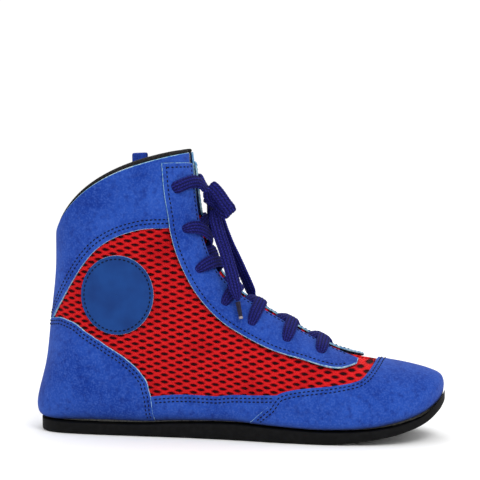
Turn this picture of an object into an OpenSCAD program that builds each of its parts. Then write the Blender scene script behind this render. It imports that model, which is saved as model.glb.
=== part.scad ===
// Right-foot lace-up boxing boot: suede overlays on a red mesh quarter,
// thin rubber sole. Millimetres, +X to the toe, -Y the outer side, +Z up.

/* [Boot] */
// Length of the upper from heel to toe
boot_length = 290; // [270:1:310]
// Height of the collar at the front
collar_height = 193.5; // [185:0.5:205]
// Width across the ball of the foot
ball_width = 97; // [92:1:104]

/* [Layers] */
// Thickness of the suede
suede = 1.25; // [1:0.05:1.3]
// Thickness of the spacer mesh, and of the stiffeners in the same layer
middle = 2.2; // [2:0.1:2.6]
// Thickness of the tape behind the eyelets
tape = 0.5; // [0.4:0.1:0.6]
// Thickness of the textile lining
lining = 1; // [0.9:0.1:1.2]
// Gap left between one layer and the next
ply_gap = 0.3; // [0.2:0.05:0.35]

/* [Sole] */
// How far the rubber stands out past the upper
sole_lip = 0.8; // [0.5:0.1:1.5]
// Place of the bend across the ball, forward of the middle
flex_x = 80; // [76:1:84]
// Width of the slit between the two halves of the rubber
flex_slit = 0.5; // [0.4:0.1:1]

/* [Lacing] */
// Width of the flat lace
lace_w = 8.6; // [8:0.1:9.4]
// Thickness of the flat lace
lace_t = 2.2; // [1.8:0.1:2.4]

/* [Ankle patch] */
// Half the height of the patch
patch_r = 27; // [24:0.5:28]
// Width of the patch for a height of 1
patch_width = 0.93; // [0.9:0.01:1]
// Radius of the foam disc behind it
pad_r = 21; // [18:0.5:22]

/* [Hidden] */

lateral = -1;
medial = 1;
blue = "royalblue";
half_length = 148;

// Stations of the outer surface, from the toe tip to the collar. Each is one
// closed section: ridge x and z, base x and z (x counted from the heel),
// half width, place of the widest point from ridge (0) to base (1),
// roundness of the upper and lower quarters, and arch of the section.
STATIONS = [
    [289.5, 37, 288.7, 30, 0, 0.52, 2.0, 2.2, 0],
    [287, 43.5, 286, 25, 16, 0.58, 2.0, 2.6, 0],
    [278, 47.5, 277, 18.5, 29, 0.64, 2.0, 3.2, 0],
    [263, 51, 262, 13, 39, 0.68, 2.0, 3.8, 0],
    [243, 54.2, 241, 9.2, 45.5, 0.72, 2.0, 4.4, 0],
    [217, 59, 211, 8, 48.5, 0.74, 2.0, 4.8, 0],
    [193, 71, 180, 9, 46, 0.76, 2.0, 4.8, 0],
    [169, 84.5, 148, 10.5, 41, 0.76, 2.0, 4.6, 0],
    [148, 97.5, 114, 9.5, 37.5, 0.74, 2.05, 4.6, 0],
    [133.5, 113, 80, 7.5, 36, 0.70, 2.1, 4.4, 0],
    [125.5, 130, 46, 7.5, 35.5, 0.66, 2.15, 4.4, 0],
    [121.5, 146, 16, 8, 35.5, 0.62, 2.2, 3.8, 0],
    [119.5, 158.5, 6, 17, 35, 0.58, 2.2, 2.8, 0],
    [118, 169, 12, 48, 34.5, 0.55, 2.2, 2.3, 1.5],
    [117, 178, 16, 82, 35, 0.53, 2.2, 2.2, 5],
    [116, 186, 19.5, 109, 36.5, 0.51, 2.2, 2.2, 10],
    [115, 193.5, 20.5, 133, 38.5, 0.50, 2.2, 2.2, 15]];
last = len(STATIONS) - 1;
sx = boot_length / 290;
sz = collar_height / 193.5;
sy = ball_width / 97;
grow = [sx, sz, sx, sz, sy, 1, 1, 1, sz];

// Depths of the layers under the outer surface
d_suede = -suede;
d_mid0 = d_suede - ply_gap;
d_mid1 = d_mid0 - middle;
d_tape0 = d_mid1 - ply_gap;
d_tape1 = d_tape0 - tape;
d_lin0 = d_tape1 - ply_gap;
d_lin1 = d_lin0 - lining;
d_tongue0 = -9.1;
d_tongue1 = -10.3;
d_tongue2 = -12.6;
d_over = suede + ply_gap;

// ---- the surface ----

function scaled(row) = [for (k = [0:8]) row[k] * grow[k]];
function mirror_row(row) = [for (k = [0:8]) k == 4 ? -row[k] : row[k]];
function station(i) =
    i < 0 ? mirror_row(scaled(STATIONS[1]))
    : i > last ? 2 * scaled(STATIONS[last]) - scaled(STATIONS[last - 1])
    : scaled(STATIONS[i]);
function blend4(a, b, c, d, f) =
    0.5 * (2 * b + (c - a) * f + (2 * a - 5 * b + 4 * c - d) * f * f
           + (3 * b - 3 * c + d - a) * f * f * f);
function section(t) =
    let (i = min(floor(t), last - 1))
    blend4(station(i - 1), station(i), station(i + 1), station(i + 2), t - i);

// Point of the outer surface: t runs from toe (0) to collar (last), h from
// the ridge (0) to the sole or the back (1), negative on the outer side.
function skin(t0, h0) =
    let (t = min(t0, last),
         h = h0 > 1 ? h0 - 2 : h0 < -1 ? h0 + 2 : h0,
         s = section(t),
         top = abs(h) < 0.5,
         turn = 180 * (top ? abs(h) : abs(h) - 0.5),
         n = top ? s[6] : s[7],
         r = pow(pow(cos(turn), n) + pow(sin(turn), n), -1 / n),
         q = top ? s[5] * (1 - r * cos(turn)) : s[5] + (1 - s[5]) * r * sin(turn),
         y = s[4] * r * (top ? sin(turn) : cos(turn)),
         run = [s[2] - s[0], s[3] - s[1]],
         up = [run[1], -run[0]] / norm(run),
         arch = s[8] * pow(max(0, sin(180 * pow(min(q, 1), 1.2))), 0.75))
    [s[0] + run[0] * q + up[0] * arch - half_length * sx,
     (h < 0 ? -1 : 1) * y,
     s[1] + run[1] * q + up[1] * arch];
function along(t0, h) = let (t = min(t0, last - 0.02)) skin(t + 0.02, h) - skin(max(t - 0.02, 0), h);
function normal(t0, h) =
    let (t = max(t0, 0.05),
         c = cross(skin(t, h + 0.02) - skin(t, h - 0.02), along(t, h)))
    c / norm(c);
function on_seam(t, h) = t == 0 || h == 0 || abs(h) == 1;
// Point at a distance out from the outer surface
function at(t, h, d) =
    let (seam = on_seam(t, h),
         side = seam ? abs(h) : h,
         p = skin(t, side) + d * normal(t, side))
    seam ? [p[0], 0, p[2]] : p;

// ---- solids from patches of the surface ----
// A patch is rows of [t, h] points. Each kept cell gets an outer and an inner
// face, and a wall wherever its neighbour is not kept.

function quad(a, b, c, d) = [[a, b, c], [a, c, d]];
function kept(keep, i, j) =
    i >= 0 && j >= 0 && i < len(keep) && j < len(keep[0]) && keep[i][j];
// At the toe tip the first row folds shut, so its two halves share points.
// Cells past the fold row or column are split the other way, to stay mirrored.
function cell_faces(keep, tip, fold) =
    let (rows = len(keep) + 1, cols = len(keep[0]) + 1, n = rows * cols)
    [for (i = [0:rows - 2], j = [0:cols - 2]) if (keep[i][j])
        let (shut = tip && i == 0,
             a = shut ? min(j, cols - 1 - j) : i * cols + j,
             b = shut ? min(j + 1, cols - 2 - j) : a + 1,
             d = (i + 1) * cols + j, c = d + 1,
             over = !shut && (i >= fold[0] || j >= fold[1]))
        each concat(
            over ? quad(b, a, d, c) : quad(a, d, c, b),
            over ? quad(n + b, n + c, n + d, n + a) : quad(n + a, n + b, n + c, n + d),
            shut || kept(keep, i - 1, j) ? [] : quad(a, b, n + b, n + a),
            kept(keep, i, j + 1) ? [] : quad(b, c, n + c, n + b),
            kept(keep, i + 1, j) ? [] : quad(c, d, n + d, n + c),
            kept(keep, i, j - 1) ? [] : quad(d, a, n + a, n + d))];
function flipped(faces) = [for (f = faces) [f[2], f[1], f[0]]];
function all_kept(patch) = [for (i = [1:len(patch) - 1]) [for (j = [1:len(patch[0]) - 1]) true]];
// Which way round a patch runs, from one of its middle cells
function turns(patch) =
    let (i = floor(len(patch) / 2), j = floor(len(patch[0]) / 2),
         a = patch[i][j], b = patch[i][j - 1], c = patch[i - 1][j])
    sign((a[0] - b[0]) * (a[1] - c[1]) - (a[1] - b[1]) * (a[0] - c[0]));

module sheet_of(patch, keep, outer, inner, fold = [999, 999]) {
    pts = [for (d = [outer, inner], row = patch, p = row) at(p[0], p[1], d)];
    faces = cell_faces(keep, patch[0][0][0] == 0, fold);
    polyhedron(pts, turns(patch) > 0 ? flipped(faces) : faces);
}
// Smooth curve through hand-placed points
function curve(p, n = 3) =
    let (m = len(p) - 1)
    concat([for (i = [0:m - 1], k = [0:n - 1])
        blend4(p[max(i - 1, 0)], p[i], p[i + 1], p[min(i + 2, m)], k / n)], [p[m]]);
function to_side(edge, side) = [for (p = edge) [p[0], side * p[1]]];
// The same edge on the other side, joined on round the back of the heel
function round_back(edge) =
    concat(edge, [for (k = [len(edge) - 2:-1:0]) [edge[k][0], 2 - edge[k][1]]]);
// Patch between two edges with the same number of points
function between(edge0, edge1, cols) =
    [for (i = [0:len(edge0) - 1]) [for (j = [0:cols]) edge0[i] + (edge1[i] - edge0[i]) * j / cols]];

module ply(edge0, edge1, outer, inner, cols, n = 3) {
    patch = between(curve(edge0, n), curve(edge1, n), cols);
    sheet_of(patch, all_kept(patch), outer, inner);
}
module ply_round_back(edge0, edge1, outer, inner, cols, n = 3) {
    patch = between(round_back(curve(edge0, n)), round_back(curve(edge1, n)), cols);
    sheet_of(patch, all_kept(patch), outer, inner, [(len(patch) - 1) / 2, 999]);
}
// Sheet over the toe with a notch or slot open to the rear: side columns
// outside the notch, middle columns inside it
module notched(rows, notch_row, side_cols, mid_cols, outer, inner) {
    patch = [for (r = rows) let (t = r[0], e = r[1], push = r[2])
        concat([for (j = [0:side_cols - 1]) [t, -reach - (e - reach) * j / side_cols]],
               [for (j = [-mid_cols:mid_cols]) [t + push * (1 - pow(j / mid_cols, 2)), e * j / mid_cols]],
               [for (j = [1:side_cols]) [t, e + (reach - e) * j / side_cols]])];
    keep = [for (i = [0:len(rows) - 2]) [for (j = [0:2 * (side_cols + mid_cols) - 1])
        i < notch_row || j < side_cols || j >= side_cols + 2 * mid_cols]];
    sheet_of(patch, keep, outer, inner, [999, side_cols + mid_cols]);
}

// ---- panel edges, as places on the surface ----

reach = 0.78;
low_front = [8.6, reach];
FEATHER = [low_front, [9.4, reach], [10.2, 0.8], [11, 0.84], [11.25, 0.93], [11.3, 1]];
HEEL_TOP = [[8.64, 0.74], [9.0, 0.58], [9.6, 0.49], [11.7, 0.51], [13.4, 0.72], [13.96, 1]];
COLLAR_LOW = [[11.1, 0.13], [12.2, 0.23], [13.5, 0.365], [14.08, 0.53], [13.8, 0.74], [13.975, 1]];
COLLAR_TOP = [[last, 0.058], [last, 0.22], [last, 0.4], [last, 0.6], [last, 0.8], [last, 1]];
EYESTAY_REAR = [[15.74, 0.253], [14, 0.255], [11.2, 0.226], [9.2, 0.231], [7.7, 0.254], [6.6, 0.264],
                [5.6, 0.238], [4.8, 0.214], [4.42, 0.15]];
EYESTAY_FRONT = [[15.05, 0.062], [13.8, 0.065], [11.4, 0.064], [9.4, 0.063], [8, 0.06], [6.9, 0.055],
                 [5.9, 0.049], [5, 0.047], [4.42, 0.1]];
RAND_TOP = [[8.88, 0.6], [8.2, 0.541], [7.3, 0.492], [6.7, 0.475], [6.28, 0.49]];
RAND_LOW = [[8.56, reach], [8.1, reach], [7.4, reach], [6.9, reach], [6.68, reach]];
MESH_LOW = [[4.0, 0.2], [4.3, 0.32], [5.1, 0.4], [5.9, 0.475], [6.7, 0.54], [7.8, 0.57], [8.8, 0.63],
            [9.6, 0.55], [11.6, 0.55], [13.1, 0.75], [13.4, 0.88], [13.5, 0.995]];
MESH_TOP = [[4.02, 0.01], [4.45, 0.03], [5.4, 0.047], [6.4, 0.051], [7.4, 0.057], [8.6, 0.061], [10, 0.063],
            [11.6, 0.13], [13.65, 0.365], [14.2, 0.56], [13.95, 0.76], [14.12, 0.995]];
STIFFENER_LOW = [[9.3, reach], [9.8, reach], [10.4, 0.8], [11, 0.84], [11.7, 0.93], [12, 1]];
STIFFENER_TOP = [[9.2, 0.7], [9.4, 0.64], [9.9, 0.59], [11.5, 0.59], [12.8, 0.8], [13.2, 1]];
FOAM_LOW = [[12.8, 0.2], [13.3, 0.3], [14.1, 0.4], [14.45, 0.55], [14.3, 0.75], [14.3, 1]];
FOAM_TOP = [[15.9, 0.1], [15.9, 0.25], [15.9, 0.42], [15.9, 0.6], [15.9, 0.8], [15.9, 1]];
LINING_LOW = [[7.53, reach], [8.6, reach], [9.6, reach], [10.5, 0.8], [11.2, 0.86], [11.8, 0.95], [12, 1]];
LINING_TOP = [[7.53, 0.076], [9.5, 0.081], [12, 0.082], [14.5, 0.081], [15.9, 0.11], [15.9, 0.5], [15.9, 1]];
// Rows over the toe: place, half width of the notch, and how far it is bowed
TOE_ROWS = [[0, 0.2, 0], [0.5, 0.2, 0], [1, 0.2, 0], [1.5, 0.2, 0], [2, 0.2, 0], [2.5, 0.2, 0], [3, 0.2, 0],
            [3.5, 0.2, 0.2], [3.96, 0.2, 0.44], [4.3, 0.28, 0.4], [4.8, 0.326, 0], [5.4, 0.371, 0],
            [6, 0.425, 0], [6.2, 0.47, 0], [6.4, 0.6, 0], [6.6, 0.74, 0]];
VAMP_ROWS = concat([for (t = [0:0.5:4.5]) [t, 0.061, 0]],
                   [for (t = [5:0.5:7.5]) [t, 0.06 + 0.004 * (t - 5), 0]]);
HOLES = [[14, 0.21], [11.5, 0.18], [9.65, 0.18], [8.2, 0.185], [7.25, 0.2], [6.28, 0.19], [5.38, 0.155]];
PATCH = [12.08, 0.426];

// Turns the z axis to stand on the surface at (t, h)
module stand_on(t, h) {
    n = normal(t, h);
    translate(skin(t, h)) rotate([0, acos(n[2]), atan2(n[1], n[0])]) children();
}
// One closed mesh of everything inside
module one_mesh() {
    resize([0, 0, 0]) children();
}

// ---- sole ----

// Rows of the sole from the toe to the heel: x from the heel, half width,
// height of the upper's base, and height of the rubber's underside
PLAN = [[290, 0, 31, 26.4], [287.6, 14, 26.4, 21], [279, 26.5, 18.5, 13.4], [264, 37, 13, 7.4],
        [243, 43.5, 9.3, 3], [214, 46, 8, 0], [182, 43.5, 9, 0], [150, 38.5, 10.5, 0],
        [116, 35, 9.5, 0], [82, 33.5, 7.6, 0], [50, 32.5, 7.4, 0], [28, 29.5, 7.5, 0], [16, 23, 8, 0],
        [10.4, 13, 8.6, 0], [9, 0, 9, 0]];
plan_last = len(PLAN) - 1;
function plan_at(i) =
    let (k = i < 0 ? 1 : i > plan_last ? plan_last - 1 : i, r = PLAN[k])
    [r[0] * sx - half_length * sx, (i < 0 || i > plan_last ? -1 : 1) * r[1] * sy, r[2] * sz, r[3] * sz];
function plan(u) =
    let (i = min(floor(u), plan_last - 1))
    blend4(plan_at(i - 1), plan_at(i), plan_at(i + 1), plan_at(i + 2), u - i);
function plan_place(x, low = 0, high = plan_last) =
    let (mid = (low + high) / 2)
    high - low < 0.0001 ? mid : plan(mid)[0] > x ? plan_place(x, mid, high) : plan_place(x, low, mid);
function spaced(a, b, n) = [for (i = [0:n]) a + (b - a) * i / n];

// Loft of the sole's cross-sections: rows along it, one ring of points each
module sole_loft(rings) {
    n = len(rings[0]);
    m = len(rings);
    sides = [for (i = [0:m - 2], k = [0:n - 1])
        each quad(i * n + k, (i + 1) * n + k, (i + 1) * n + (k + 1) % n, i * n + (k + 1) % n)];
    caps = concat([for (k = [1:n - 2]) [0, k, k + 1]],
                  [for (k = [1:n - 2]) [(m - 1) * n, (m - 1) * n + k + 1, (m - 1) * n + k]]);
    polyhedron([for (r = rings) each r], flipped(concat(sides, caps)));
}
function rubber_ring(u) =
    let (p = plan(u), w = max(p[1], 0.4) + sole_lip, top = p[2] - ply_gap, low = max(p[3], 0),
         rise = top - low, edge = min(1, w / 8))
    [for (q = [[-1, 0, 1], [-1, 0, 0.45], [-1, 1.2, 0.15], [-1, 3.4, 0], [1, 3.4, 0], [1, 1.2, 0.15],
               [1, 0, 0.45], [1, 0, 1]])
        [p[0], q[0] * (w - q[1] * edge), low + q[2] * rise]];
// Flat layer inside the upper, between two heights above the sole line
function layer_ring(u, inset, low, high) =
    let (p = plan(u), w = max(p[1] - inset, 0.4))
    [[p[0], -w, p[2] + low], [p[0], w, p[2] + low], [p[0], w, p[2] + high], [p[0], -w, p[2] + high]];
module inner_layer(inset, low, high, first, final) {
    sole_loft([for (u = spaced(first, final, 22)) layer_ring(u, inset, low, high)]);
}

module outsole_rear() {
    start = plan_place(flex_x - flex_slit / 2);
    color("black") sole_loft([for (u = spaced(start, plan_last, 30)) rubber_ring(u)]);
}
module outsole_front() {
    color("black") sole_loft([for (u = spaced(0, plan_place(flex_x + flex_slit / 2), 16)) rubber_ring(u)]);
}
module midsole() { color("gainsboro") inner_layer(12, 0.4, 5.5, 1.5, 11.9); }
module insole_board() { color("tan") inner_layer(11, 6.8, 8, 1.8, 12); }
module sock_liner() { color("dimgray") inner_layer(11, 8.15, 10.9, 2.1, 12); }

// ---- upper ----

module heel_stiffener() { color("wheat") ply_round_back(STIFFENER_LOW, STIFFENER_TOP, d_mid0, d_mid1, 8); }
module toe_puff() {
    patch = [for (t = spaced(0, 3.75, 8)) [for (j = [-12:12]) [t, 0.66 * j / 12]]];
    color("wheat") sheet_of(patch, all_kept(patch), d_mid0, d_mid1, [999, 12]);
}
module collar_foam() { color("gray") ply_round_back(FOAM_LOW, FOAM_TOP, d_mid0, d_mid1, 6); }
module vamp_lining() { color("dimgray") notched(VAMP_ROWS, 9, 8, 1, d_lin0, d_lin1); }
module quarter_lining() { color("dimgray") ply_round_back(LINING_LOW, LINING_TOP, d_lin0, d_lin1, 9); }
module heel_counter() { color(blue) ply_round_back(FEATHER, HEEL_TOP, 0, d_suede, 8); }
module collar_panel() { color(blue) ply_round_back(COLLAR_LOW, COLLAR_TOP, 0, d_suede, 8); }
module toe_cap() { color(blue) notched(TOE_ROWS, 9, 8, 4, 0, d_suede + 0.15); }

module quarter_mesh(side) {
    difference() {
        ply(to_side(MESH_LOW, side), to_side(MESH_TOP, side), d_mid0, d_mid1, 9);
        stand_on(PATCH[0], side * PATCH[1]) cylinder(h = 30, r = pad_r + 0.3, center = true, $fn = 32);
    }
}
module rand(side) { ply(to_side(RAND_LOW, side), to_side(RAND_TOP, side), 0, d_suede, 4); }
module eyestay(side) {
    ply(to_side(EYESTAY_REAR, side), to_side(EYESTAY_FRONT, side), d_over, ply_gap, 3);
}
module eyestay_tape(side) {
    ply(to_side(EYESTAY_REAR, side), to_side(EYESTAY_FRONT, side), d_tape0, d_tape1, 3, 2);
}
// Disc of a layer, standing on the ankle
module ankle_disc(side, outer, inner, r, width = 1) {
    intersection() {
        sheet_of(ankle_grid(side), all_kept(ankle_grid(side)), outer, inner);
        stand_on(PATCH[0], side * PATCH[1]) scale([1, width, 1])
            cylinder(h = 30, r = r, center = true, $fn = 32);
    }
}
function ankle_grid(side) = [for (t = spaced(8.5, 14, 9)) [for (h = spaced(0.22, 0.66, 9)) [t, side * h]]];

module quarter_mesh_lateral() { color("crimson") one_mesh() quarter_mesh(lateral); }
module quarter_mesh_medial() { color("crimson") one_mesh() quarter_mesh(medial); }
module rand_lateral() { color(blue) rand(lateral); }
module rand_medial() { color(blue) rand(medial); }
module eyestay_tape_lateral() { color("white") eyestay_tape(lateral); }
module eyestay_tape_medial() { color("white") eyestay_tape(medial); }
module eyestay_lateral() { color(blue) eyestay(lateral); }
module eyestay_medial() { color(blue) eyestay(medial); }
module ankle_pad_lateral() { color("gray") one_mesh() ankle_disc(lateral, d_mid0, d_mid1, pad_r); }
module ankle_pad_medial() { color("gray") one_mesh() ankle_disc(medial, d_mid0, d_mid1, pad_r); }
module ankle_patch_lateral() { color("steelblue")
    one_mesh() ankle_disc(lateral, 0, d_suede, patch_r, patch_width); }
module ankle_patch_medial() { color("steelblue")
    one_mesh() ankle_disc(medial, 0, d_suede, patch_r, patch_width); }

// Black edge that the lining makes over the top of the collar
BEAD = [[-0.9, 0.15], [-0.9, 1.9], [-2.2, 2.6], [-4.4, 2.6], [-5.6, 1.9], [-5.6, 0.15]];
module collar_binding() {
    rings = [for (h = spaced(0.058, 2 - 0.058, 44))
        let (up = along(last, h) / norm(along(last, h)))
        [for (b = BEAD) at(last, h, b[0]) + b[1] * up]];
    color("black") sole_loft(rings);
}

// ---- tongue ----

tongue_side = [[4.5, 0.1], [5.5, 0.115], [7, 0.135], [9, 0.155], [12, 0.157], [14.6, 0.152], [15.7, 0.12]];
module tongue_layer(outer, inner) {
    edge = curve(tongue_side);
    patch = [for (p = edge) [for (j = [-3:3]) [p[0], p[1] * j / 3]]];
    sheet_of(patch, all_kept(patch), outer, inner, [999, 3]);
}
module tongue() { color("black") tongue_layer(d_tongue0, d_tongue1); }
module tongue_pad() { color("gray") tongue_layer(d_tongue1 - ply_gap, d_tongue2); }

// ---- pull loop inside the collar, on the inner side ----

tab_place = [last, 0.42];
tab_w = 11;
tab_t = 1.3;
tab_gap = 1.2;
tab_down = 9;
tab_up = 9.5;
tab_half = tab_gap / 2 + tab_t;
module pull_tab() {
    n = normal(tab_place[0], tab_place[1]);
    up = along(tab_place[0], tab_place[1]) / norm(along(tab_place[0], tab_place[1]));
    side = cross(up, n);
    foot = at(tab_place[0], tab_place[1], d_lin1 - 1.4);
    color(blue) multmatrix([[side[0], -n[0], up[0], foot[0]], [side[1], -n[1], up[1], foot[1]],
                            [side[2], -n[2], up[2], foot[2]]])
        translate([-tab_w / 2, tab_half, 0]) rotate([0, 90, 0]) linear_extrude(tab_w)
            difference() {
                tab_outline(tab_half);
                tab_outline(tab_half - tab_t);
            }
}
// Outline of the folded strap seen from its edge
module tab_outline(r) {
    hull() {
        translate([-(tab_up - tab_half), 0]) circle(r, $fn = 32);
        translate([tab_down - deep_half(), 0]) circle(r, $fn = 32);
    }
}

// ---- laces ----

// Flat band swept along a path; each stop is [point, across, out, width, thickness]
SECTION = [for (k = [0:5]) [cos(60 * k), sin(60 * k) / sin(60)]];
module band(stops) {
    sole_loft([for (s = stops) [for (q = SECTION)
        s[0] + s[1] * q[0] * s[3] / 2 + s[2] * q[1] * s[4] / 2]]);
}
function unit(v) = v / norm(v);
function path_dir(p, i) = unit(p[min(i + 1, len(p) - 1)] - p[max(i - 1, 0)]);
// A band along points, lying flat against a direction that points out
function banded(p, out, w, t) = [for (i = [0:len(p) - 1])
    let (d = path_dir(p, i), o = is_num(out[0]) ? out : out[i], a = unit(cross(d, o)))
    [p[i], a, cross(a, d), is_num(w) ? w : w[i], t]];

// One crossing: out of a hole, over the throat, and under the far edge. Each
// stop is [share of the way, height over the surface, share of the width]
CROSSING = [[0, 1.1, 0.5], [0.06, 2.7, 0.75], [0.16, 2.9, 1], [0.28, 2.8, 1], [0.38, 2.6, 1], [0.5, 1.7, 1],
            [0.6, -1.4, 0.95], [0.68, -4.8, 0.9], [0.8, -7, 0.8], [0.95, -7, 0.6]];
// How far each row's outer and inner strand leans along the throat at the ridge
LEAN = [[0, 0], [-1.3, -0.6], [-0.45, 0.05], [-0.05, 0.25], [0.08, 0.33], [0.1, 0.35], [0.1, 0.35]];
module crossing(row, side, lean, lift) {
    hole = HOLES[row];
    stops = [for (c = CROSSING) let (f = c[0], h = side * hole[1] * (1 - 2 * f),
        t = hole[0] + lean * 2 * min(f, 0.68), bump = lift * exp(-pow((f - 0.5) / 0.12, 2)))
        [at(t, h, c[1] + bump), normal(t, h)]];
    band(banded([for (s = stops) s[0]], [for (s = stops) s[1]],
                [for (c = CROSSING) c[2] * lace_w], lace_t));
}
// From the top hole to the knot: places on the surface, and height over it
TO_KNOT = [[14, 0.21, 1.1], [13.97, 0.195, 2.6], [13.9, 0.16, 3], [13.7, 0.1, 3],
           [13.4, 0.05, 4], [12.9, 0.03, 6.5]];
module to_knot(side) {
    band(banded([for (p = TO_KNOT) at(p[0], side * p[1], p[2])],
                [for (p = TO_KNOT) normal(p[0], side * p[1])],
                [for (k = [0:5]) lace_w * min(1, 0.5 + 0.25 * k)], lace_t));
}
// Bar between the lowest pair of holes, under the tape
module lowest_bar() {
    from = HOLES[6];
    stops = [for (f = spaced(-0.8, 0.8, 6)) [at(from[0], f * from[1], -7), normal(from[0], f * from[1])]];
    band(banded([for (s = stops) s[0]], [for (s = stops) s[1]], lace_w * 0.8, lace_t));
}
module lacing() {
    color("navy") one_mesh() {
        for (row = [1:6]) {
            crossing(row, lateral, LEAN[row][0], 1.2);
            crossing(row, medial, LEAN[row][1], -1.2);
        }
        to_knot(lateral);
        to_knot(medial);
        lowest_bar();
    }
}
KNOT = [-19, -2, 160];
knot_r = 5.6;
module lace_knot() { color("navy") translate(KNOT) sphere(knot_r, $fn = 24); }

// Routes of the free laces, from the knot. Each has the way its flat side faces.
BOW_LATERAL = [[-21, -11, 166], [-18.5, -13, 170], [-13.5, -14, 171], [-8.5, -14, 165.5], [-5, -13.5, 158.5],
               [-3.5, -12.5, 153.5], [-5, -11.5, 151.5], [-8, -10.5, 153], [-10, -10, 156]];
BOW_MEDIAL = [[-22, 7, 160], [-23, 11, 157.5], [-23.5, 16, 152], [-23, 20, 145], [-21.5, 22, 139],
              [-19, 22.5, 138], [-17.5, 20.5, 143], [-16.5, 15, 150], [-15.5, 9, 155]];
END_LATERAL = [[-17.5, -4, 151], [-15.5, -6.5, 144], [-12.5, -9.5, 136], [-9, -12.5, 128], [-5, -15.5, 120],
               [-2, -18.5, 112], [0.5, -21.5, 103.5], [3, -24.5, 94.5]];
END_MEDIAL = [[-18, 2.5, 152.5], [-15, 8, 147], [-13, 14, 138], [-10, 19, 128], [-6, 23, 118], [-2, 26, 108],
              [2, 28.5, 98], [5, 30, 89]];
AGLET_LATERAL = [[3.3, -25, 93], [5.8, -27.5, 82]];
AGLET_MEDIAL = [[5.4, 30.2, 87.7], [9, 31.5, 77]];
module free_lace(route, out) {
    r = curve(route, 3);
    color("navy") band(banded(r, out, [for (i = [0:len(r) - 1]) lace_w * min(1, 0.5 + i / 8)], lace_t));
}
module aglet(ends) {
    axis = unit(ends[1] - ends[0]);
    color("midnightblue") translate(ends[0]) rotate([0, acos(axis[2]), atan2(axis[1], axis[0])])
        cylinder(h = norm(ends[1] - ends[0]), r = 1.6, $fn = 24);
}
module bow_loop_lateral() {
    c = [-11.5, -9, 160];
    r = curve(BOW_LATERAL, 3);
    out = [for (p = r) unit([(p[0] - c[0]) * 0.3, p[1] - c[1], (p[2] - c[2]) * 0.3])];
    color("navy") band(banded(r, out, lace_w, lace_t));
}
module bow_loop_medial() {
    c = [-20, 15, 148];
    r = curve(BOW_MEDIAL, 3);
    out = [for (p = r) unit([p[0] - c[0], (p[1] - c[1]) * 0.2, (p[2] - c[2]) * 0.1])];
    color("navy") band(banded(r, out, lace_w * 0.9, lace_t));
}
module lace_end_lateral() { free_lace(END_LATERAL, [0.35, -0.93, 0.1]); }
module lace_end_medial() { free_lace(END_MEDIAL, [0.5, 0.85, 0.1]); }
module aglet_lateral() { aglet(AGLET_LATERAL); }
module aglet_medial() { aglet(AGLET_MEDIAL); }

outsole_rear();
outsole_front();
midsole();
insole_board();
sock_liner();
heel_stiffener();
toe_puff();
collar_foam();
vamp_lining();
quarter_lining();
quarter_mesh_lateral();
quarter_mesh_medial();
heel_counter();
collar_panel();
collar_binding();
rand_lateral();
rand_medial();
toe_cap();
eyestay_tape_lateral();
eyestay_tape_medial();
eyestay_lateral();
eyestay_medial();
ankle_pad_lateral();
ankle_pad_medial();
ankle_patch_lateral();
ankle_patch_medial();
tongue_pad();
tongue();
pull_tab();
lacing();
lace_knot();
bow_loop_lateral();
bow_loop_medial();
lace_end_lateral();
lace_end_medial();
aglet_lateral();
aglet_medial();
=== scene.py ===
"""Looks of the boxing boot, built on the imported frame.

Suede overlays on spacer mesh, flat laces and a thin rubber sole. Lengths are in mm up to add_object,
which turns them into metres.
"""
import math

import bpy
import numpy as np
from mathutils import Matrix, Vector, kdtree


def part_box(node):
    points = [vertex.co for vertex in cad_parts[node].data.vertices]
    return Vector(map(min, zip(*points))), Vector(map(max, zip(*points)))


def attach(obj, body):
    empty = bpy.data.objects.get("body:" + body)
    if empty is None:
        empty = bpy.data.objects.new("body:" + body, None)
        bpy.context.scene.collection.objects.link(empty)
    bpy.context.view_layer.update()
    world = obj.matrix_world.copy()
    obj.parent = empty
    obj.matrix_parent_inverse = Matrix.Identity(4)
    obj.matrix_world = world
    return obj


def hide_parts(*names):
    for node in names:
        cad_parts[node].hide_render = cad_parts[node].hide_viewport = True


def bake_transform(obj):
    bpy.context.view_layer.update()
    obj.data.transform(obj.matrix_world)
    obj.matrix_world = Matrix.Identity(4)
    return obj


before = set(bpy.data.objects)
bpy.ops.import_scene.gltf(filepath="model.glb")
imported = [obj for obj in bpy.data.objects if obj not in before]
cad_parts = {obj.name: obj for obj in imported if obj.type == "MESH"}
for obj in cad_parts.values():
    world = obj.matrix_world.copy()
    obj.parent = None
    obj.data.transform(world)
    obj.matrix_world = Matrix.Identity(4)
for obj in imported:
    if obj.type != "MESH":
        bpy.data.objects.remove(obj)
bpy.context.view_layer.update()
MM = 0.001


def box_mm(node):
    low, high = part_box(node)
    return np.array(low) / MM, np.array(high) / MM


# ---- camera ----

AZIMUTH = math.radians(10)
DISTANCE = 1.4
toe_x = box_mm("toe_cap")[1][0]
look_at = Vector((-0.003, 0, 0.1))
rise = 0.14
level = math.sqrt(DISTANCE**2 - rise**2)
camera = bpy.data.objects.new("camera", bpy.data.cameras.new("camera"))
camera.location = look_at + Vector((level * math.sin(AZIMUTH), -level * math.cos(AZIMUTH), rise))
camera.rotation_euler = (look_at - camera.location).to_track_quat("-Z", "Y").to_euler()
camera.data.lens = 152
camera.data.sensor_width = 36
camera.data.shift_x = 0.01
camera.data.shift_y = 0.1
bpy.context.collection.objects.link(camera)
bpy.context.scene.camera = camera


# ---- materials ----


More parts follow.
